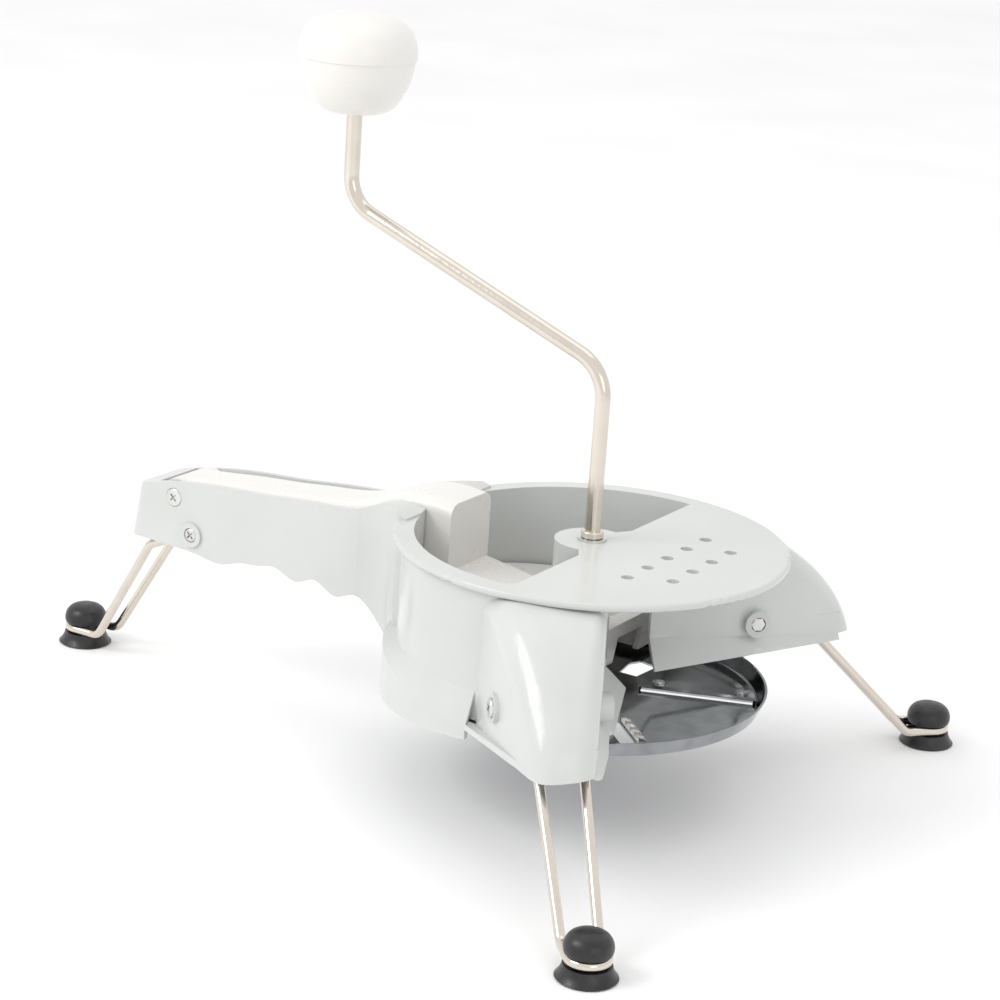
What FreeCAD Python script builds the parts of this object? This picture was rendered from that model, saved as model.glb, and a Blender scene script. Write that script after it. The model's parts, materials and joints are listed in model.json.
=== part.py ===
import FreeCAD, Part
import math
import os

# Rotary vegetable slicer on three folding legs. Millimetres, +Z up, floor at Z = 0.
# Everything is drawn about the crank shaft, with the handle towards -X, and moved along X when
# saved, so that the origin is on the floor under the middle of the whole slicer.

V = FreeCAD.Vector
Z_AXIS = V(0, 0, 1)
Y_AXIS = V(0, 1, 0)

# Hopper ring and top plate
RIM_R = 75.0
HOPPER_R = 67.0
WALL_R = 71.3
TOP_Z = 100.7
PLATE_T = 3.0
PLATE_EDGE_X = 6.0
BOSS_R = 14.2
COLUMN_BOTTOM_Z = 74.5
MOULD_T = 2.3
WALL_BOTTOM_Z = 48.0
HOLE_R = 2.4
HOLE_PITCH = 15.0
HOLE_ROWS = ((32.5, 5), (47.2, 4))

# Skirt round the cutting disc
SKIRT_R = 76.5
SKIRT_BOTTOM_Z = 41.8
SKIRT_EDGE_Z = 45.7
SKIRT_SLOPE = 0.16
CREASE_Z = 59.0

# Cutting disc and shaft
SHAFT_R = 3.0
RUNNING_GAP = 0.05
DISC_R = 71.1
DISC_FLAT_R = 67.0
DISC_GAP = 0.7
DISC_RIM_Z = 46.7
DISC_TOP_Z = 41.2
DISC_T = 0.8
HUB_R = 9.0
HUB_TOP_Z = 73.0

# Crank and knob
ARM_LOW_Z = 166.7
ARM_HIGH_Z = 211.2
CRANK_REACH = 117.5
KNOB_Z = 246.0
KNOB_SEAM = 21.0
KNOB_H = 37.9

# Presser: a lever in the handle with a half-round foot in the hopper
HANDLE_END_X = -209.5
PRESSER_PIVOT = V(-186.9, 0, 79.8)
FOOT_FACE_R = 190.0
FOOT_R = 65.2
FOOT_NOTCH_HALF_W = 15.4
FOOT_NOTCH_BACK_X = -19.2
FOOT_WINDOW_Y = (24.3, 44.6)
FOOT_WINDOW_TOP_Z = 55.0
FOOT_BOTTOM_Z = 44.3
LEVER_HALF_W = 14.3
LEVER_ROUND_R = 5.0
BOLT_R = 2.0
LEVER_HEAD_Y = 13.0
REAR_HEAD_Y = 14.0
FRONT_HEAD_R = 3.6

# Folding legs: a bent wire on a cross bolt, with a rubber foot in its end loop
WIRE_R = 1.9
LOOP_R = 6.6
EYE_R = BOLT_R + RUNNING_GAP + WIRE_R
EYE_HALF_GAP = 9.5
FOOT_TOP_Z = 17.3
GROOVE_Z = 7.2
FRONT_FOOT = V(87.2, 138.0, 0)
FRONT_AZIMUTH = 46.5
FRONT_PIVOT_U = 87.3
FRONT_PIVOT_Z = 62.0
FRONT_KNEE = (32.4, 8.2, 50.0)
FRONT_ANKLE_U = 75.5
REAR_FOOT_X = -242.9
REAR_PIVOT_U = 65.9
REAR_PIVOT_Z = 66.1
REAR_KNEE = (25.6, 8.8, 55.0)
REAR_ANKLE_U = 53.9
BEND_R = 6.0

SHAFT_X = -(FRONT_FOOT.x + REAR_FOOT_X) / 2


# ---------------------------------------------------------------- shape helpers

def disc_at(radius, z_low, z_high, x=0.0, y=0.0):
    return Part.makeCylinder(radius, z_high - z_low, V(x, y, z_low))


def ring_at(outer, inner, z_low, z_high, x=0.0):
    return disc_at(outer, z_low, z_high, x).cut(disc_at(inner, z_low - 1, z_high + 1, x))


def prism(points, z_low, z_high):
    """Upright solid over a polygon given as (x, y) corners."""
    corners = [V(x, y, z_low) for x, y in points]
    return Part.Face(Part.makePolygon(corners + corners[:1])).extrude(V(0, 0, z_high - z_low))


def curve(points):
    """Smooth edge through (x, z) points in the plane Y = 0."""
    line = Part.BSplineCurve()
    line.interpolate([V(x, 0, z) for x, z in points])
    return line.toShape()


def run(*points):
    """Straight edges through (x, z) points in the plane Y = 0."""
    corners = [V(x, 0, z) for x, z in points]
    return [Part.LineSegment(a, b).toShape() for a, b in zip(corners, corners[1:])]


def slab(edges, half_width):
    """Solid made by pushing a closed outline in the plane Y = 0 out to both sides."""
    face = Part.Face(Part.Wire(Part.__sortEdges__(edges)))
    face.translate(V(0, -half_width, 0))
    return face.extrude(V(0, 2 * half_width, 0))


def turned(edges, x=0.0):
    """Solid of revolution of a closed (radius, z) outline about the upright line at x."""
    face = Part.Face(Part.Wire(Part.__sortEdges__(edges)))
    solid = face.revolve(V(0, 0, 0), Z_AXIS, 360)
    solid.translate(V(x, 0, 0))
    return solid


def rounded_path(points, radii):
    """Straight runs joined by tangent arcs, one radius for each inner point."""
    edges = []
    start = points[0]
    for before, corner, after, radius in zip(points, points[1:], points[2:], radii):
        back = (before - corner).normalize()
        ahead = (after - corner).normalize()
        half = back.getAngle(ahead) / 2
        reach = radius / math.tan(half)
        inward = (back + ahead).normalize() * (radius / math.sin(half) - radius)
        arc = Part.Arc(corner + back * reach, corner + inward, corner + ahead * reach)
        edges.append(Part.LineSegment(start, corner + back * reach).toShape())
        edges.append(arc.toShape())
        start = corner + ahead * reach
    edges.append(Part.LineSegment(start, points[-1]).toShape())
    return edges


def swept_rod(edges, radius):
    path = Part.Wire(edges)
    first = path.Edges[0]
    start = first.valueAt(first.FirstParameter)
    profile = Part.Wire(Part.makeCircle(radius, start, first.tangentAt(first.FirstParameter)))
    return path.makePipeShell([profile], True, True)


def mirrored(shape):
    return shape.mirror(V(0, 0, 0), Y_AXIS)


def fuse_all(shapes):
    return shapes[0].multiFuse(shapes[1:]).removeSplitter()


def save(name, shape):
    moved = shape.copy()
    moved.translate(V(SHAFT_X, 0, 0))
    moved.exportStep("parts/" + name + ".step")


# ---------------------------------------------------------------- leg frames

def bearing(azimuth):
    angle = math.radians(azimuth)
    return V(math.cos(angle), math.sin(angle), 0)


OUT = bearing(FRONT_AZIMUTH)
FRONT_PIVOT = V(FRONT_FOOT.x, FRONT_FOOT.y, FRONT_PIVOT_Z) - OUT * FRONT_PIVOT_U
REAR_PIVOT = V(REAR_FOOT_X + REAR_PIVOT_U, 0, REAR_PIVOT_Z)
BOLT_AXIS = bearing(FRONT_AZIMUTH - 90)


def to_leg(shape, pivot, azimuth):
    """Turn a shape drawn along +X from its pivot to the leg's azimuth, and put it there."""
    placed = shape.copy()
    placed.rotate(V(0, 0, 0), Z_AXIS, azimuth)
    placed.translate(V(pivot.x, pivot.y, 0))
    return placed


def cross_rod(radius, pivot, axis, low, high):
    """Cylinder along a bolt axis between two distances from the pivot."""
    return Part.makeCylinder(radius, high - low, pivot + axis * low, axis)


# ---------------------------------------------------------------- body moulding

# Leg housing on the +Y side, in the leg's own plan: distance out from the shaft along the leg, and
# distance across. The inner wall runs straight; its foot flares out to the outlet.
WALL_START, WALL_END = (25.8, 1.0), (112.0, -20.8)
FLARE_START_ACROSS, FLARE_END_ACROSS = 10.9, -18.6
CREASE_HIGH, CREASE_LOW = 61.0, 52.5
FLARE_Z = 50.8
BOLT_IN = 24.6
BOLT_OUT = -20.0
BOSS_FACE_R = 5.3

# Sections across the housing: out, inner side, outer side, top, inner and outer corner radius
HOUSING_SECTIONS = (
    (36.0, -1.6, -51.5, 97.6, 4.0, 7.0),
    (60.0, -7.6, -50.6, 97.6, 4.0, 8.0),
    (75.0, -11.4, -49.2, 95.6, 5.0, 12.0),
    (88.0, -14.7, -47.4, 88.6, 6.0, 14.0),
    (100.0, -17.8, -45.8, 79.6, 7.0, 14.0),
    (109.0, -20.2, -44.4, 70.4, 8.0, 13.0),
    (115.0, -22.4, -42.4, 61.8, 8.0, 9.5),
    (118.6, -25.4, -39.2, 53.0, 5.5, 6.0),
    (120.2, -28.0, -36.4, 44.0, 3.5, 3.5),
)


def leg_plan(out, across, z):
    """Point given in the leg's plan: out along the leg, and across it."""
    return OUT * out + BOLT_AXIS * across + V(0, 0, z)


def arch(section, inset):
    """Closed outline of the housing across the leg: upright sides and a rounded top."""
    out, inner, outer, top, round_in, round_out = section
    out -= inset * min(1.0, max(0.0, (out - 90) / 20))
    inner, outer, top = inner - inset, outer + inset, top - inset
    r_in, r_out = max(round_in - inset, 1.0), max(round_out - inset, 1.0)
    corner = math.sin(math.radians(45))

    def at(across, z):
        return leg_plan(out, across, z)

    in_arc = Part.Arc(at(inner, top - r_in), at(inner - r_in * (1 - corner), top - r_in * (1 - corner)),
                      at(inner - r_in, top))
    out_arc = Part.Arc(at(outer + r_out, top),
                       at(outer + r_out * (1 - corner), top - r_out * (1 - corner)),
                       at(outer, top - r_out))
    edges = [Part.LineSegment(at(outer, 36), at(inner, 36)).toShape(),
             Part.LineSegment(at(inner, 36), at(inner, top - r_in)).toShape(), in_arc.toShape(),
             Part.LineSegment(at(inner - r_in, top), at(outer + r_out, top)).toShape(),
             out_arc.toShape(), Part.LineSegment(at(outer, top - r_out), at(outer, 36)).toShape()]
    return Part.Wire(edges)


def housing_block(inset):
    """Solid of the leg housing, or of its hollow when inset is the wall thickness."""
    return Part.makeLoft([arch(section, inset) for section in HOUSING_SECTIONS], True, False)


def under_plane(points, depth=60):
    """Half space below the plane through three points, as a large flat block."""
    a, b, c = points
    normal = (b - a).cross(c - a).normalize()
    if normal.z < 0:
        normal = normal * -1
    block = Part.makeBox(400, 400, depth, V(-200, -200, -depth))
    placement = FreeCAD.Placement(a, FreeCAD.Rotation(Z_AXIS, normal))
    block.Placement = placement
    return block


def housing():
    outer = housing_block(0)
    bosses = [cross_rod(4.8, FRONT_PIVOT, BOLT_AXIS, 11.6, BOLT_IN),
              cross_rod(4.8, FRONT_PIVOT, BOLT_AXIS, BOLT_OUT, -11.6)]
    shell = fuse_all([outer.cut(housing_block(MOULD_T)), outer.common(fuse_all(bosses)),
                      cross_rod(BOSS_FACE_R, FRONT_PIVOT, BOLT_AXIS, 17.0, BOLT_IN),
                      cross_rod(BOSS_FACE_R, FRONT_PIVOT, BOLT_AXIS, BOLT_OUT + 1.2, -15.0)])
    return shell.cut(under_plane([V(-5, 75, 45.5), V(45, 112, 50.5), V(26, 11.5, 50)]))


def apron():
    """Thin lip along the foot of the housing's outer wall, from the skirt towards the nose."""
    strip = prism([(-4.2, 76.3), (38.0, 105.8), (39.6, 103.4), (-2.4, 73.6)], 40, 60)
    top = under_plane([V(-4, 76, 47.6), V(37, 105, 52.6), V(-30, 100, 47.6)])
    low = under_plane([V(-5, 75, 45.5), V(45, 112, 50.5), V(26, 11.5, 50)])
    return strip.common(top).cut(low)


def inner_wall():
    """Wall under the plate, straight above its crease and flaring out below it."""
    wires = []
    for wall, flare_across, crease in ((WALL_START, FLARE_START_ACROSS, CREASE_HIGH),
                                       (WALL_END, FLARE_END_ACROSS, CREASE_LOW)):
        out, across = wall
        points = [leg_plan(out, across, TOP_Z - PLATE_T), leg_plan(out, across, crease),
                  leg_plan(out, flare_across, FLARE_Z),
                  leg_plan(out, flare_across - 1.6, FLARE_Z - 0.8),
                  leg_plan(out, across - MOULD_T, crease - 1.4),
                  leg_plan(out, across - MOULD_T, TOP_Z - PLATE_T)]
        wires.append(Part.makePolygon(points + points[:1]))
    wall = Part.makeLoft(wires, True, True)
    low_part = disc_at(200, 40, CREASE_HIGH + 0.5)
    return fuse_all([wall.common(disc_at(WALL_R, 40, TOP_Z)), wall.common(housing_block(0)),
                     wall.common(housing_block(-4.0)).common(low_part)])


def handle_outline(inset=0.0):
    """Side outline of the handle with its finger waves; inset lifts the floor of the channel."""
    top = curve([(-206, 82), (-194, 85), (-177, 88), (-159, 89.7), (-139, 91), (-125, 92.6),
                 (-106, 94), (-95, 95.6), (-87, 99), (-80, 102), (-73, 103), (-64, 101.5)])
    low = curve([(HANDLE_END_X, 59.3 + inset), (-187, 59 + inset), (-172, 58 + inset), (-162, 57 + inset),
                 (-151, 60 + inset), (-143, 60.8 + inset), (-135, 62.2 + inset),
                 (-123, 58.8 + inset), (-115, 61.6 + inset), (-104, 57.3 + inset),
                 (-95, 60 + inset), (-90, 58 + inset), (-84, 53.6 + inset), (-64, 50 + inset)])
    return [top, low] + run((HANDLE_END_X, 59.3 + inset), (-206, 82)) + run((-64, 50 + inset), (-64, 101.5))


def handle_plan(inset):
    """Plan shape of the handle: slim at the end, flaring into the ring."""
    edges = []
    for side in (1, -1):
        end = V(HANDLE_END_X + 2 * inset, side * (13.8 - inset), 0)
        neck = V(-95, side * (16.6 - inset), 0)
        middle = V(-80, side * (19.2 - inset), 0)
        root = V(-68, side * (30 - inset), 0)
        edges.append(Part.LineSegment(end, neck).toShape())
        edges.append(Part.Arc(neck, middle, root).toShape())
        edges.append(Part.LineSegment(root, V(-60, side * (30 - inset), 0)).toShape())
    edges.append(Part.LineSegment(V(-60, inset - 30, 0), V(-60, 30 - inset, 0)).toShape())
    edges.append(Part.LineSegment(V(HANDLE_END_X + 2 * inset, inset - 13.8, 0),
                                  V(HANDLE_END_X + 2 * inset, 13.8 - inset, 0)).toShape())
    face = Part.Face(Part.Wire(Part.__sortEdges__(edges)))
    return face.extrude(V(0, 0, 140))


def handle():
    outer = slab(handle_outline(), 40).common(handle_plan(0))
    rounded = [e for e in outer.Edges if abs(e.BoundBox.XMin + 208) < 4 and e.BoundBox.ZLength > 15
               and e.BoundBox.XLength < 4]
    outer = outer.makeFillet(4.0, rounded)
    channel = lever_space()
    hollow = prism([(-204.6, -11.4), (-204.6, 11.4), (-160, 12.6), (-160, -12.6)], 50, 78)
    tail = prism([(-204.6, -11.4), (-204.6, 11.4), (-196, 11.4), (-196, -11.4)], 50, 81)
    shell = outer.cut(channel).cut(hollow).cut(tail)
    bosses = [cross_rod(5.0, REAR_PIVOT, Y_AXIS, -15.8, -11.6),
              cross_rod(5.0, REAR_PIVOT, Y_AXIS, 11.6, 15.8)]
    return fuse_all([shell] + bosses)


def lever_half_width(x):
    """The lever is slimmer at its pivot than at the hopper."""
    share = min(1.0, max(0.0, (x + 195) / 120.0))
    return 11.4 + (LEVER_HALF_W - 11.4) * share


def lever_space():
    """Channel cut in the handle for the lever, open at the top."""
    gap = 0.6
    left = [(-196, -lever_half_width(-196) - gap), (-75, -LEVER_HALF_W - gap),
            (-55, -LEVER_HALF_W - gap)]
    plan = prism(left + [(x, -y) for x, y in reversed(left)], 50, 120)
    floor = slab(run((-196, 120), (-196, 70), (-150, 70), (-84, 70), (-78, 65), (-50, 65),
                     (-50, 120), (-196, 120)), 30)
    return plan.common(floor)


def hopper_ring():
    wall = ring_at(WALL_R, HOPPER_R, WALL_BOTTOM_Z, TOP_Z)
    rim = disc_at(RIM_R, TOP_Z - PLATE_T, TOP_Z)
    rim = rim.makeFillet(1.3, [e for e in rim.Edges if e.Length > 300])
    return fuse_all([wall, rim.cut(disc_at(HOPPER_R, 90, 110))])


def top_plate():
    """Half cover over the outlet side, with the shaft boss and its drain holes."""
    plate = disc_at(HOPPER_R + 1, TOP_Z - PLATE_T, TOP_Z)
    cover = prism([(PLATE_EDGE_X, -80), (80, -80), (80, 80), (PLATE_EDGE_X, 80)], 90, 110)
    plate = plate.common(cover)
    column = ring_at(BOSS_R, BOSS_R - MOULD_T, COLUMN_BOTTOM_Z, TOP_Z - PLATE_T + 0.1)
    parts = [plate, column, disc_at(BOSS_R, TOP_Z - PLATE_T, TOP_Z)]
    for side in (1, -1):
        corner = prism([(PLATE_EDGE_X - 6, side * 10), (PLATE_EDGE_X + 1, side * 10),
                        (PLATE_EDGE_X + 1, side * 20), (PLATE_EDGE_X, side * 20)],
                       TOP_Z - PLATE_T, TOP_Z)
        parts.append(corner)
    parts.append(disc_at(6.5, 78, TOP_Z - 1))
    plate = fuse_all(parts)
    for row_x, count in HOLE_ROWS:
        for index in range(count):
            y = (index - (count - 1) / 2) * HOLE_PITCH
            plate = plate.cut(disc_at(HOLE_R, 90, 110, row_x, y))
    return plate.cut(disc_at(4.5, 70, 110))


def skirt():
    """Band round the disc, with a ledge that slopes from the hopper wall out to it."""
    slope = SKIRT_SLOPE
    tilt = math.atan(slope)
    crease = Part.Wire(Part.makeCircle(WALL_R, V(0, 0, CREASE_Z)))
    ellipse = Part.Ellipse(V(0, 0, SKIRT_EDGE_Z), SKIRT_R / math.cos(tilt), SKIRT_R).toShape()
    ellipse.rotate(V(0, 0, SKIRT_EDGE_Z), Y_AXIS, math.degrees(tilt))
    ledge = Part.makeLoft([Part.Wire(ellipse), crease], True, True)
    edge = under_plane([V(0, 0, SKIRT_EDGE_Z), V(100, 0, SKIRT_EDGE_Z - 100 * slope),
                        V(0, 100, SKIRT_EDGE_Z)])
    solid = fuse_all([disc_at(SKIRT_R, 30, 70).common(edge), ledge])
    inner = ledge.copy()
    inner.translate(V(0, 0, -MOULD_T - 0.6))
    hollow = fuse_all([disc_at(SKIRT_R - MOULD_T, 20, WALL_BOTTOM_Z - 0.3),
                       inner.common(disc_at(SKIRT_R - MOULD_T, 20, 70))])
    solid = solid.cut(hollow.cut(disc_at(WALL_R, WALL_BOTTOM_Z, 90)))
    solid = solid.cut(disc_at(HOPPER_R, 10, 120))
    bottom = under_plane([V(-4, 0, SKIRT_BOTTOM_Z), V(-4, 100, SKIRT_BOTTOM_Z),
                          V(-76, 0, SKIRT_BOTTOM_Z - 5.8)])
    front = prism([(-4, -120), (120, -120), (120, 120), (-4, 120)], 20, 120)
    return solid.cut(front).cut(bottom)


def outlet_space():
    """Open space between the two inner walls, from the inner ends out past the ring."""
    corners = []
    for wall in (WALL_START, WALL_END):
        point = leg_plan(wall[0], wall[1], 0)
        corners.append((point.x, point.y))
    far = [(130, corners[1][1]), (130, -corners[1][1])]
    mirror_corners = [(x, -y) for x, y in reversed(corners)]
    start = [(corners[0][0], -corners[0][1]), corners[0]]
    space = prism(start[1:] + [corners[1]] + far + mirror_corners, 20, TOP_Z - PLATE_T)
    return space.cut(disc_at(BOSS_R + 1, 20, 120))


def body_moulding():
    left_housing = housing()
    housings = [left_housing, mirrored(left_housing)]
    hopper_space = disc_at(HOPPER_R, 20, TOP_Z - PLATE_T)
    outside = [part.cut(hopper_space) for part in housings]
    cavity = housing_block(MOULD_T).cut(disc_at(HOPPER_R + MOULD_T, 20, TOP_Z - PLATE_T))
    ring = hopper_ring().cut(cavity).cut(mirrored(cavity))
    grip = handle().cut(disc_at(HOPPER_R, 20, 120)).cut(disc_at(SKIRT_R - MOULD_T, 20, WALL_BOTTOM_Z))
    wall_gate = prism([(-80, -14.9), (-60, -14.9), (-60, 14.9), (-80, 14.9)], 60, 120)
    shell = fuse_all([ring.cut(wall_gate), skirt(), grip, apron(), mirrored(apron())] + outside)
    face = cross_rod(BOSS_FACE_R, FRONT_PIVOT, BOLT_AXIS, 17.0, BOLT_IN)
    shell = shell.cut(outlet_space().cut(fuse_all([face, mirrored(face)])))
    wall = inner_wall()
    shell = fuse_all([shell, top_plate(), wall, mirrored(wall)])
    shell = shell.cut(disc_at(DISC_R + DISC_GAP, 20, DISC_RIM_Z + DISC_GAP))
    for side in (1, -1):
        pivot = V(FRONT_PIVOT.x, side * FRONT_PIVOT.y, FRONT_PIVOT.z)
        axis = V(BOLT_AXIS.x, side * BOLT_AXIS.y, 0)
        shell = shell.cut(cross_rod(BOLT_R, pivot, axis, -40, 40))
        shell = shell.cut(cross_rod(2.9, pivot, axis, BOLT_IN - 1.9, BOLT_IN + 20))
        shell = shell.cut(cross_rod(FRONT_HEAD_R + 0.1, pivot, axis, BOLT_OUT - 20, BOLT_OUT + 1.8))
        shell = shell.cut(cross_rod(EYE_R + WIRE_R + 0.5, pivot, axis, -11.6, 11.6))
    for pivot, floor, radius in ((REAR_PIVOT, REAR_HEAD_Y, 3.0), (PRESSER_PIVOT, LEVER_HEAD_Y, 3.9)):
        shell = shell.cut(cross_rod(BOLT_R, pivot, Y_AXIS, -20, 20))
        shell = shell.cut(cross_rod(radius, pivot, Y_AXIS, floor, 22))
        shell = shell.cut(cross_rod(radius, pivot, Y_AXIS, -22, -floor))
    return shell


# ---------------------------------------------------------------- crank and knob

def shaft_bush():
    barrel = ring_at(4.5, SHAFT_R + RUNNING_GAP, 78.0, TOP_Z + 1.0)
    flange = ring_at(5.6, SHAFT_R + RUNNING_GAP, TOP_Z, TOP_Z + 1.0)
    return fuse_all([barrel, flange])


def crank_rod():
    corners = [V(0, 0, 36.5), V(0, 0, ARM_LOW_Z), V(-CRANK_REACH, 0, ARM_HIGH_Z),
               V(-CRANK_REACH, 0, KNOB_Z + 27)]
    rod = swept_rod(rounded_path(corners, [17.0, 15.0]), SHAFT_R)
    return rod.cut(drive_pin())


def drive_pin():
    return cross_rod(1.5, V(0, 0, 50), Y_AXIS, -HUB_R + 0.5, HUB_R - 0.5)


def thrust_collar():
    collar = ring_at(4.3, SHAFT_R, TOP_Z + 1.3, TOP_Z + 3.6)
    return collar.makeFillet(0.5, [e for e in collar.Edges if e.BoundBox.XLength > 8
                                   and e.BoundBox.ZMin > TOP_Z + 3])


def retaining_clip():
    return ring_at(5.8, SHAFT_R, 76.7, 77.6)


def knob_lower():
    z = KNOB_Z
    side = curve([(9.5, z), (14.8, z + 2.4), (17.9, z + 6.4), (20.4, z + 11.5), (21.8, z + 16.5),
                  (22.5, z + KNOB_SEAM)])
    solid = turned([side] + run((22.5, z + KNOB_SEAM), (0, z + KNOB_SEAM), (0, z), (9.5, z)))
    well = disc_at(8, z + 17, z + KNOB_SEAM + 1)
    bore = disc_at(SHAFT_R + RUNNING_GAP, z - 1, z + 20)
    knob = solid.cut(fuse_all([well, bore]))
    knob.translate(V(-CRANK_REACH, 0, 0))
    return knob


def knob_upper():
    z = KNOB_Z + KNOB_SEAM
    top = KNOB_Z + KNOB_H
    side = curve([(22.95, z), (22.8, z + 4.0), (21.0, z + 9.4), (16.8, z + 13.6), (10, z + 16.0),
                  (0, top)])
    solid = turned([side] + run((0, top), (0, z), (22.95, z)))
    knob = solid.cut(disc_at(8, z - 1, z + 9))
    knob.translate(V(-CRANK_REACH, 0, 0))
    return knob


def knob_push_nut():
    z = KNOB_Z + 17.4
    nut = ring_at(6.4, SHAFT_R, z, z + 2.2)
    nut.translate(V(-CRANK_REACH, 0, 0))
    return nut


# ---------------------------------------------------------------- cutting disc

# Edge of the slicing blade on the disc: a point on it and its bearing
BLADE_START = V(18.3, 12.4, DISC_TOP_Z)
BLADE_BEARING = 21.8
BLADE_LENGTH = 46.0
BLADE_T = 0.7
BLADE_LIFT = 1.5
BLADE_RIVETS = (7.0, 38.9)
COMB_START = V(29.0, -21.0, DISC_TOP_Z)
COMB_BEARING = -43.3
COMB_LENGTH = 24.0
COMB_TEETH = 5
DISC_WINDOW = ((3.0, 25.0), (10.5, 25.0), (11.5, 40.0), (3.4, 41.5), (1.0, 36.5))


def on_disc(shape, start, azimuth):
    """Place a shape drawn along +X from the origin at a start point on the disc."""
    placed = shape.copy()
    placed.rotate(V(0, 0, 0), Z_AXIS, azimuth)
    placed.translate(start)
    return placed


def opposite(shape):
    turned_round = shape.copy()
    turned_round.rotate(V(0, 0, 0), Z_AXIS, 180)
    return turned_round


def cutting_disc():
    """Flat of the pressed disc, with its slots, windows and rivet holes."""
    disc = ring_at(DISC_FLAT_R, SHAFT_R, DISC_TOP_Z - DISC_T, DISC_TOP_Z)
    slot = on_disc(Part.makeBox(BLADE_LENGTH - 3, 4.2, 4, V(1, -0.8, -2)), BLADE_START, BLADE_BEARING)
    comb_slot = on_disc(Part.makeBox(COMB_LENGTH, 6.0, 4, V(0, -6.0, -2)), COMB_START, COMB_BEARING)
    window = prism(DISC_WINDOW, 35, 45)
    for cutter in (slot, comb_slot, window, blade_pins()):
        disc = disc.cut(cutter)
    for cutter in (slot, comb_slot, window):
        disc = disc.cut(opposite(cutter))
    return disc


def disc_rim():
    """Turned-up rim of the disc, drawn apart from its flat."""
    low, high = DISC_TOP_Z - DISC_T, DISC_TOP_Z
    return turned(run((DISC_FLAT_R, low), (67.2, low), (68.6, low + 0.6), (DISC_R, DISC_RIM_Z),
                      (DISC_R - 0.9, DISC_RIM_Z), (67.8, high + 0.5), (DISC_FLAT_R, high),
                      (DISC_FLAT_R, low)))


def slicing_blade():
    """Strip lying on the disc behind its slot, with its edge bent up over the slot."""
    lift, thick = BLADE_LIFT, BLADE_T
    section = [V(0, 0, lift), V(0, 0.5, lift - 0.2), V(0, 5.0, 0), V(0, 13.0, 0),
               V(0, 13.0, thick), V(0, 5.2, thick), V(0, 1.0, lift + thick)]
    strip = Part.Face(Part.makePolygon(section + section[:1])).extrude(V(BLADE_LENGTH, 0, 0))
    blade = on_disc(strip, BLADE_START, BLADE_BEARING).common(disc_at(DISC_FLAT_R, 30, 60))
    return blade.cut(blade_pins())


def blade_pins():
    """Rivets through the blades and the disc."""
    pins = []
    for along in BLADE_RIVETS:
        pin = fuse_all([Part.makeCylinder(1.5, 3.2, V(along, 8.0, -1.4)),
                        Part.makeCylinder(2.4, 0.7, V(along, 8.0, BLADE_T)),
                        Part.makeCylinder(2.4, 0.6, V(along, 8.0, -1.4))])
        pins.append(on_disc(pin, BLADE_START, BLADE_BEARING))
    return Part.makeCompound(pins + [opposite(p) for p in pins])


def julienne_comb():
    """Row of small upright teeth on a strip beside the comb slot."""
    parts = [Part.makeBox(COMB_LENGTH, 4.0, 0.7, V(0, 0.4, 0))]
    pitch = (COMB_LENGTH - 2.0) / (COMB_TEETH - 1)
    for index in range(COMB_TEETH):
        x = 0.6 + index * pitch
        tooth = Part.makePolygon([V(x, 0.4, 0.4), V(x, 0.4, 2.6), V(x, 4.2, 0.9), V(x, 4.2, 0.4),
                                  V(x, 0.4, 0.4)])
        parts.append(Part.Face(tooth).extrude(V(0.8, 0, 0)))
    return on_disc(fuse_all(parts), COMB_START, COMB_BEARING)


def disc_hub():
    hub = fuse_all([disc_at(HUB_R, DISC_TOP_Z, HUB_TOP_Z), disc_at(13, DISC_TOP_Z, DISC_TOP_Z + 2)])
    hub = hub.cut(disc_at(SHAFT_R, 30, HUB_TOP_Z + 1))
    return hub.cut(drive_pin())


def disc_nut():
    z = DISC_TOP_Z - DISC_T
    sides = [(7.5 * math.cos(math.radians(60 * i)), 7.5 * math.sin(math.radians(60 * i)))
             for i in range(6)]
    nut = prism(sides, 36.6, z - 1.0)
    nut = fuse_all([nut, disc_at(9.0, z - 1.0, z)])
    return nut.cut(disc_at(SHAFT_R, 30, 45))


# ---------------------------------------------------------------- presser

def foot_block(inset):
    lift = inset
    wings_top = [(-70, 72.5 - lift), (8, 60.0 - lift)]
    wings = slab(run(*wings_top, (8, 30), (-70, 30), wings_top[0]), 80)
    ridge_top = [(-62, 80 - lift), (8, 68.5 - lift)]
    ridge = slab(run(*ridge_top, (8, 30), (-62, 30), ridge_top[0]), LEVER_HALF_W - 0.5 - inset)
    solid = fuse_all([wings, ridge])
    return solid.common(disc_at(FOOT_R - inset, 20, 120))


def notch_space(grow):
    """Room for the hub and the shaft, square at the back and open to the front."""
    half = FOOT_NOTCH_HALF_W + grow
    back = FOOT_NOTCH_BACK_X - grow
    return prism([(back, -half), (30, -half), (30, half), (back, half)], 20, 120)


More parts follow.
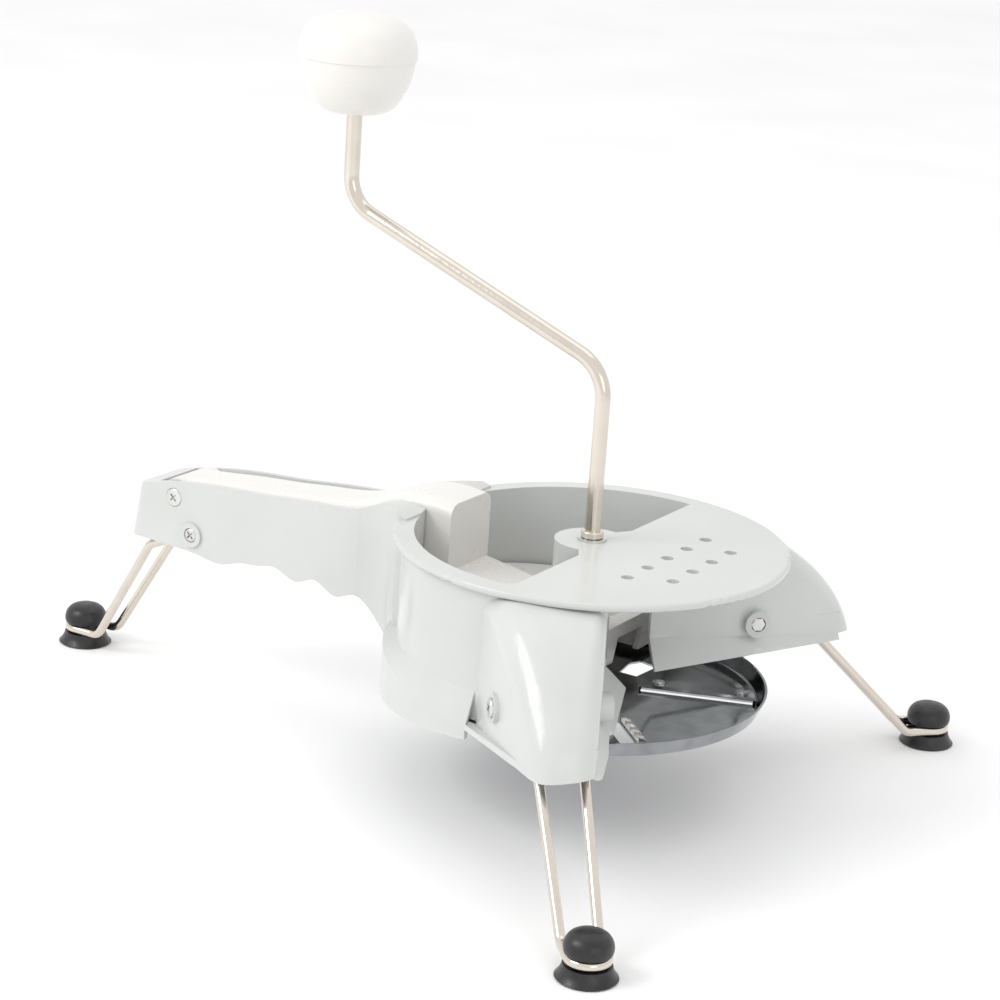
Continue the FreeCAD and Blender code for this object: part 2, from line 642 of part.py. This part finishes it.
def presser_foot():
    """Hollow half-round plate with an open frame for a front face and ribs inside."""
    wall = 2.4
    swing = [Part.makeCylinder(FOOT_FACE_R - drop, 200, PRESSER_PIVOT - V(0, 100, 0), Y_AXIS)
             for drop in (0, wall)]
    solid = foot_block(0).common(swing[0]).cut(notch_space(0))
    hollow = foot_block(wall).common(swing[1]).cut(notch_space(wall))
    webs = [prism([(-66, y - 1), (10, y - 1), (10, y + 1), (-66, y + 1)], 20, 110)
            for y in (-48, -21, 21, 48)]
    webs.append(prism([(-14, -70), (-12, -70), (-12, 70), (-14, 70)], 50, 110))
    webs.append(prism([(-44, -70), (-42, -70), (-42, 70), (-44, 70)], 20, 110))
    hollow = hollow.cut(fuse_all(webs))
    bottom = Part.makeBox(300, 300, 60, V(-150, -150, FOOT_BOTTOM_Z - 60))
    low, high = FOOT_WINDOW_Y
    window = prism([(-11, low), (20, low), (20, high), (-11, high)], 20, FOOT_WINDOW_TOP_Z)
    foot = solid.cut(hollow).cut(bottom).cut(window).cut(mirrored(window))
    return foot.cut(lever_block())


def lever_outline():
    x, z = PRESSER_PIVOT.x, PRESSER_PIVOT.z
    top = curve([(x, z + 7.4), (-176, 88.0), (-159, 89.8), (-139, 91.3), (-125, 92.8),
                 (-106, 95.0), (-92, 99.3), (-80, 104.2), (-68, 106.2), (-54, 105.2)])
    tail = Part.Arc(V(x, 0, z + 7.4), V(x - 7.4, 0, z), V(x, 0, z - 6.6)).toShape()
    low = run((-54, 105.2), (-54, 66.5), (-77, 66.5), (-84, 71.8), (-150, 71.8), (x, z - 6.6))
    return [top, tail] + low


def lever_block():
    solid = slab(lever_outline(), 30)
    left = [(-196, -lever_half_width(-196)), (-75, -LEVER_HALF_W), (-50, -LEVER_HALF_W)]
    plan = prism(left + [(x, -y) for x, y in reversed(left)], 50, 120)
    return solid.common(plan)


def presser_lever():
    lever = lever_block()
    crown = [e for e in lever.Edges if abs(abs(e.BoundBox.YMax) - LEVER_HALF_W) < 3.2
             and e.BoundBox.XLength > 15 and e.BoundBox.ZMax > 96 and e.BoundBox.YLength < 4]
    lever = lever.makeFillet(LEVER_ROUND_R, crown)
    return lever.cut(cross_rod(BOLT_R + RUNNING_GAP, PRESSER_PIVOT, Y_AXIS, -30, 30))


# ---------------------------------------------------------------- screws

def cross_screw(pivot, axis, head_at, tip_at, head_r):
    """Round-head screw with a cross recess, and its shank along the axis."""
    way = 1 if tip_at > head_at else -1
    shank = cross_rod(BOLT_R, pivot, axis, min(head_at, tip_at), max(head_at, tip_at))
    outward = axis * -way
    head = Part.makeCylinder(head_r, 1.8, pivot + axis * head_at, outward)
    rim = [e for e in head.Edges if e.Length > 6 * head_r * 0.9
           and (e.CenterOfMass - (pivot + axis * head_at)).dot(outward) > 1.0]
    head = head.makeFillet(0.7, rim)
    screw = fuse_all([shank, head])
    across = outward.cross(Z_AXIS)
    for direction in (across + Z_AXIS, across - Z_AXIS):
        line = FreeCAD.Vector(direction).normalize()
        width = outward.cross(line)
        corner = pivot + axis * head_at + outward * 0.7 - line * 1.9 - width * 0.35
        points = [corner, corner + line * 3.8, corner + line * 3.8 + width * 0.7,
                  corner + width * 0.7, corner]
        screw = screw.cut(Part.Face(Part.makePolygon(points)).extrude(outward * 2))
    return screw


def hex_nut(pivot, axis, start, height, radius):
    points = []
    across = axis.cross(Z_AXIS)
    for index in range(7):
        angle = math.radians(60 * index)
        points.append(pivot + axis * start + across * (radius * math.cos(angle))
                      + Z_AXIS * (radius * math.sin(angle)))
    nut = Part.Face(Part.makePolygon(points)).extrude(axis * height)
    bore = cross_rod(BOLT_R, pivot, axis, min(start, start + height) - 1,
                     max(start, start + height) + 1)
    return nut.cut(bore)


def front_leg_screws():
    screw = cross_screw(FRONT_PIVOT, BOLT_AXIS, BOLT_OUT + 1.8, BOLT_IN - 0.2, FRONT_HEAD_R)
    return Part.makeCompound([screw, mirrored(screw)])


def front_leg_nuts():
    nut = hex_nut(FRONT_PIVOT, BOLT_AXIS, BOLT_IN - 1.9, 1.6, 2.8)
    return Part.makeCompound([nut, mirrored(nut)])


def grip_screw(pivot, head_y, head_r):
    return cross_screw(pivot, Y_AXIS, -head_y, head_y + 1.5, head_r)


def grip_nut(pivot, head_y, size):
    return hex_nut(pivot, Y_AXIS, head_y, 1.6, size)


# ---------------------------------------------------------------- legs and feet

def leg_wire(pivot_z, knee, ankle_u, foot_u):
    """Wire from one eye, down one strand, round the foot and back up to the other eye."""
    knee_u, knee_w, knee_z = knee
    points = [V(0, EYE_HALF_GAP, pivot_z), V(knee_u, knee_w, knee_z), V(ankle_u, LOOP_R, GROOVE_Z),
              V(foot_u, LOOP_R, GROOVE_Z)]
    lead = (points[1] - points[0]).normalize() * EYE_R
    points[0] = points[0] + lead
    strand = rounded_path(points, [BEND_R, BEND_R])
    other = [edge.mirror(V(0, 0, 0), Y_AXIS) for edge in strand]
    loop = Part.Arc(V(foot_u, LOOP_R, GROOVE_Z), V(foot_u + LOOP_R, 0, GROOVE_Z),
                    V(foot_u, -LOOP_R, GROOVE_Z)).toShape()
    path = Part.Wire(Part.__sortEdges__(strand + [loop] + other))
    first = path.OrderedEdges[0]
    start = path.OrderedVertexes[0].Point
    toward = first.CenterOfMass - start
    profile = Part.Wire(Part.makeCircle(WIRE_R, start, toward))
    wire = path.makePipeShell([profile], True, True)
    eye = Part.makeTorus(EYE_R, WIRE_R, V(0, EYE_HALF_GAP, pivot_z), Y_AXIS)
    return fuse_all([wire, eye, mirrored(eye)])


def rubber_foot(foot_u):
    neck_r = LOOP_R - WIRE_R - 0.05
    rise = GROOVE_Z
    side = curve([(11.0, 0.6), (9.6, 2.4), (8.6, rise - WIRE_R - 0.15)])
    dome = curve([(8.3, rise + WIRE_R + 0.15), (8.6, 12.5), (6.8, 15.6), (3.6, 17.0), (0, FOOT_TOP_Z)])
    outline = ([side, dome] + run((0, 0), (10.4, 0), (11.0, 0.6))
               + run((8.6, rise - WIRE_R - 0.15), (neck_r, rise - WIRE_R - 0.15),
                     (neck_r, rise + WIRE_R + 0.15), (8.3, rise + WIRE_R + 0.15))
               + run((0, FOOT_TOP_Z), (0, 0)))
    return turned(outline, foot_u)


# ---------------------------------------------------------------- build

os.makedirs("parts", exist_ok=True)

save("body_moulding", body_moulding())
save("shaft_bush", shaft_bush())
save("crank_rod", crank_rod())
save("thrust_collar", thrust_collar())
save("retaining_clip", retaining_clip())
save("drive_pin", drive_pin())
save("knob_lower", knob_lower())
save("knob_upper", knob_upper())
save("knob_push_nut", knob_push_nut())
save("cutting_disc", cutting_disc())
save("disc_rim", disc_rim())
save("disc_hub", disc_hub())
save("disc_nut", disc_nut())
save("blade_rivets", blade_pins())
for letter, turn in (("a", lambda s: s), ("b", opposite)):
    save("slicing_blade_" + letter, turn(slicing_blade()))
    save("julienne_comb_" + letter, turn(julienne_comb()))
save("presser_foot", presser_foot())
save("presser_lever", presser_lever())
save("presser_pivot_screw", grip_screw(PRESSER_PIVOT, LEVER_HEAD_Y, 3.8))
save("presser_pivot_nut", grip_nut(PRESSER_PIVOT, LEVER_HEAD_Y, 3.7))
save("rear_leg_screw", grip_screw(REAR_PIVOT, REAR_HEAD_Y, 2.9))
save("rear_leg_nut", grip_nut(REAR_PIVOT, REAR_HEAD_Y, 2.9))
save("front_leg_screws", front_leg_screws())
save("front_leg_nuts", front_leg_nuts())

front_wire = leg_wire(FRONT_PIVOT_Z, FRONT_KNEE, FRONT_ANKLE_U, FRONT_PIVOT_U)
rear_wire = leg_wire(REAR_PIVOT_Z, REAR_KNEE, REAR_ANKLE_U, REAR_PIVOT_U)
right_pivot = V(FRONT_PIVOT.x, -FRONT_PIVOT.y, 0)
LEGS = (("left", front_wire, FRONT_PIVOT, FRONT_AZIMUTH, FRONT_PIVOT_U),
        ("right", front_wire, right_pivot, -FRONT_AZIMUTH, FRONT_PIVOT_U),
        ("rear", rear_wire, REAR_PIVOT, 180, REAR_PIVOT_U))
for name, wire, pivot, azimuth, foot_u in LEGS:
    save("leg_wire_" + name, to_leg(wire, pivot, azimuth))
    save("rubber_foot_" + name, to_leg(rubber_foot(foot_u), pivot, azimuth))
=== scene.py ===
"""Looks for the hand-cranked rotary slicer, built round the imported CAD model."""

import json
import math

import bpy
from mathutils import Matrix, Vector


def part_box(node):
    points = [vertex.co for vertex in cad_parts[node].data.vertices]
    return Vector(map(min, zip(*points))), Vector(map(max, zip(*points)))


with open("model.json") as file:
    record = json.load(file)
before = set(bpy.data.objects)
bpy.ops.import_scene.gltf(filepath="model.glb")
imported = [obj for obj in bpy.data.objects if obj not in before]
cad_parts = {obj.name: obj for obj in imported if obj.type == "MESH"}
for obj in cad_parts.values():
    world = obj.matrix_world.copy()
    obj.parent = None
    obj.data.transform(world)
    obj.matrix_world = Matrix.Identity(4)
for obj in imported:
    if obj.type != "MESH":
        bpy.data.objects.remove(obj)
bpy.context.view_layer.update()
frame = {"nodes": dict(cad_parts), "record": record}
NODES = frame["nodes"]

MM = 0.001
FLOOR_HALF = 6.0
WORLD_STRENGTH = 1.0
EDGE_ANGLE = math.radians(38)
FINE_EDGE_MM = 0.15
AIM_HEIGHT = 0.1


def middle(node):
    low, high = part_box(node)
    return (low + high) / 2


SHAFT_X = middle("thrust_collar").x


# ---------------------------------------------------------------- camera

CAMERA_AZIMUTH = 30.91
CAMERA_ELEVATION = 17.0
CAMERA_ROLL = 3.9
CAMERA_DISTANCE = 1.021
CAMERA_LENS = 103.97
AIM = Vector((SHAFT_X, -0.0691, 0.1318))


def make_camera():
    az, el, roll = (math.radians(a) for a in (CAMERA_AZIMUTH, CAMERA_ELEVATION, CAMERA_ROLL))
    back = Vector((math.sin(az) * math.cos(el), -math.cos(az) * math.cos(el), math.sin(el)))
    right = Vector((math.cos(az), math.sin(az), 0))
    up = back.cross(right)
    cam_x = right * math.cos(roll) + up * math.sin(roll)
    cam_y = -right * math.sin(roll) + up * math.cos(roll)
    turn = Matrix((cam_x, cam_y, back)).transposed().to_4x4()
    data = bpy.data.cameras.new("camera")
    data.lens = CAMERA_LENS
    data.sensor_width = 36.0
    data.clip_start = 0.01
    data.clip_end = 50
    camera = bpy.data.objects.new("camera", data)
    camera.matrix_world = Matrix.Translation(AIM + back * CAMERA_DISTANCE) @ turn
    bpy.context.scene.collection.objects.link(camera)
    bpy.context.scene.camera = camera


# ---------------------------------------------------------------- materials

def new_material(name):
    mat = bpy.data.materials.new(name)
    mat.use_nodes = True
    tree = mat.node_tree
    shader = tree.nodes["Principled BSDF"]
    return mat, tree, shader


def add(tree, kind, **values):
    node = tree.nodes.new(kind)
    for key, value in values.items():
        if hasattr(node, key):
            setattr(node, key, value)
        else:
            node.inputs[key.replace("_", " ")].default_value = value
    return node


def noise(tree, scale, detail=3.0, stretch=(1, 1, 1)):
    """Noise in the object's own metres, optionally stretched."""
    where = add(tree, "ShaderNodeTexCoord")
    mapping = add(tree, "ShaderNodeMapping")
    mapping.inputs["Scale"].default_value = stretch
    tex = add(tree, "ShaderNodeTexNoise")
    tex.inputs["Scale"].default_value = scale
    tex.inputs["Detail"].default_value = detail
    tree.links.new(where.outputs["Object"], mapping.inputs["Vector"])
    tree.links.new(mapping.outputs["Vector"], tex.inputs["Vector"])
    return tex.outputs["Fac"]


def ramp(tree, source, low, high, start=0.35, end=0.65):
    """Colour ramp between two colours, or two greys when numbers are given."""
    node = add(tree, "ShaderNodeValToRGB")
    tree.links.new(source, node.inputs["Fac"])
    for element, place, value in zip(node.color_ramp.elements, (start, end), (low, high)):
        element.position = place
        element.color = tuple(value) + (1,) if isinstance(value, tuple) else (value, value, value, 1)
    return node.outputs["Color"]


def bump(tree, shader, source, strength, distance):
    node = add(tree, "ShaderNodeBump")
    node.inputs["Strength"].default_value = strength
    node.inputs["Distance"].default_value = distance
    tree.links.new(source, node.inputs["Height"])
    tree.links.new(node.outputs["Normal"], shader.inputs["Normal"])


def moulded_plastic(name, low, high, rough_low, rough_high, grain):
    """Glossy moulded plastic: faint tone drift, uneven gloss and the mould's slight waviness."""
    mat, tree, shader = new_material(name)
    tree.links.new(ramp(tree, noise(tree, 18, 4), low, high), shader.inputs["Base Color"])
    tree.links.new(ramp(tree, noise(tree, 60, 5), rough_low, rough_high), shader.inputs["Roughness"])
    bump(tree, shader, noise(tree, grain, 2), 0.08, 0.00008)
    shader.inputs["IOR"].default_value = 1.5
    shader.inputs["Coat Weight"].default_value = 0.15
    shader.inputs["Coat Roughness"].default_value = 0.12
    return mat


def drawn_metal(name, low, high, rough_low, rough_high, stretch, strength=0.1):
    """Metal with fine drawing or polishing lines."""
    mat, tree, shader = new_material(name)
    shader.inputs["Metallic"].default_value = 1.0
    lines = noise(tree, 900, 3, stretch)
    tree.links.new(ramp(tree, noise(tree, 120, 4), low, high), shader.inputs["Base Color"])
    tree.links.new(ramp(tree, lines, rough_low, rough_high), shader.inputs["Roughness"])
    bump(tree, shader, lines, strength, 0.00004)
    return mat


def soft_rubber(name):
    mat, tree, shader = new_material(name)
    tree.links.new(ramp(tree, noise(tree, 140, 4), (0.008, 0.008, 0.009), (0.02, 0.02, 0.022)),
                   shader.inputs["Base Color"])
    tree.links.new(ramp(tree, noise(tree, 420, 4), 0.28, 0.44), shader.inputs["Roughness"])
    bump(tree, shader, noise(tree, 2600, 3), 0.18, 0.0001)
    return mat


def dress_nodes():
    looks = {
        "grey_plastic": moulded_plastic("grey_plastic", (0.56, 0.575, 0.56), (0.595, 0.61, 0.595),
                                        0.18, 0.27, 320),
        "cream_plastic": moulded_plastic("cream_plastic", (0.75, 0.73, 0.70), (0.77, 0.75, 0.72),
                                         0.24, 0.34, 420),
        "nickel": drawn_metal("nickel", (0.68, 0.62, 0.55), (0.72, 0.66, 0.59), 0.10, 0.17,
                              (1, 1, 0.05)),
        "steel": drawn_metal("steel", (0.62, 0.61, 0.59), (0.72, 0.71, 0.69), 0.22, 0.36, (1, 1, 1)),
        "mirror_steel": drawn_metal("mirror_steel", (0.34, 0.35, 0.37), (0.44, 0.45, 0.47), 0.06,
                                    0.14, (0.3, 0.3, 1), 0.05),
        "black_rubber": soft_rubber("black_rubber"),
    }
    for part in frame["record"]["subparts"]:
        node = NODES[part["node"]]
        node.data.materials.clear()
        node.data.materials.append(looks[part["material_slot"]])


EDGE_WIDTHS_MM = {"body_moulding": 0.7, "presser_lever": 0.6, "presser_foot": 0.5}


def soften_edges():
    """Moulded pieces have no knife edges: a small bevel catches the light along each one."""
    for name, node in NODES.items():
        width = EDGE_WIDTHS_MM.get(name, FINE_EDGE_MM) * MM
        bevel = node.modifiers.new("edge", "BEVEL")
        bevel.width = width
        bevel.segments = 3
        bevel.limit_method = "ANGLE"
        bevel.angle_limit = EDGE_ANGLE
        bevel.use_clamp_overlap = True
        bevel.harden_normals = True


# ---------------------------------------------------------------- studio

def make_floor():
    mesh = bpy.data.meshes.new("floor")
    corners = [(x * FLOOR_HALF, y * FLOOR_HALF, 0) for x, y in ((-1, -1), (1, -1), (1, 1), (-1, 1))]
    mesh.from_pydata(corners, [], [(0, 1, 2, 3)])
    floor = bpy.data.objects.new("floor", mesh)
    bpy.context.scene.collection.objects.link(floor)
    mat, tree, shader = new_material("studio_white")
    tree.links.new(ramp(tree, noise(tree, 6, 2), (0.9, 0.9, 0.9), (0.93, 0.93, 0.93)),
                   shader.inputs["Base Color"])
    shader.inputs["Roughness"].default_value = 0.9
    mesh.materials.append(mat)


def area_light(name, place, aim, size, power, colour=(1, 1, 1)):
    data = bpy.data.lights.new(name, "AREA")
    data.shape = "RECTANGLE"
    data.size, data.size_y = size
    data.energy = power
    data.color = colour
    light = bpy.data.objects.new(name, data)
    light.location = place
    light.rotation_euler = (Vector(aim) - Vector(place)).to_track_quat("-Z", "Y").to_euler()
    bpy.context.scene.collection.objects.link(light)


def make_studio():
    world = bpy.data.worlds.new("studio")
    world.use_nodes = True
    background = world.node_tree.nodes["Background"]
    background.inputs["Color"].default_value = (1, 1, 1, 1)
    background.inputs["Strength"].default_value = WORLD_STRENGTH
    bpy.context.scene.world = world
    aim = (SHAFT_X, 0, AIM_HEIGHT)
    area_light("key", (-0.9, -1.2, 1.3), aim, (0.9, 0.9), 13)
    area_light("fill", (1.4, -0.9, 0.6), aim, (0.8, 0.8), 1.5)
    area_light("top", (0.1, 0.3, 1.6), aim, (1.2, 1.2), 2.0)
    bpy.context.scene.view_settings.view_transform = "Standard"


make_camera()
make_studio()
make_floor()
dress_nodes()
soften_edges()
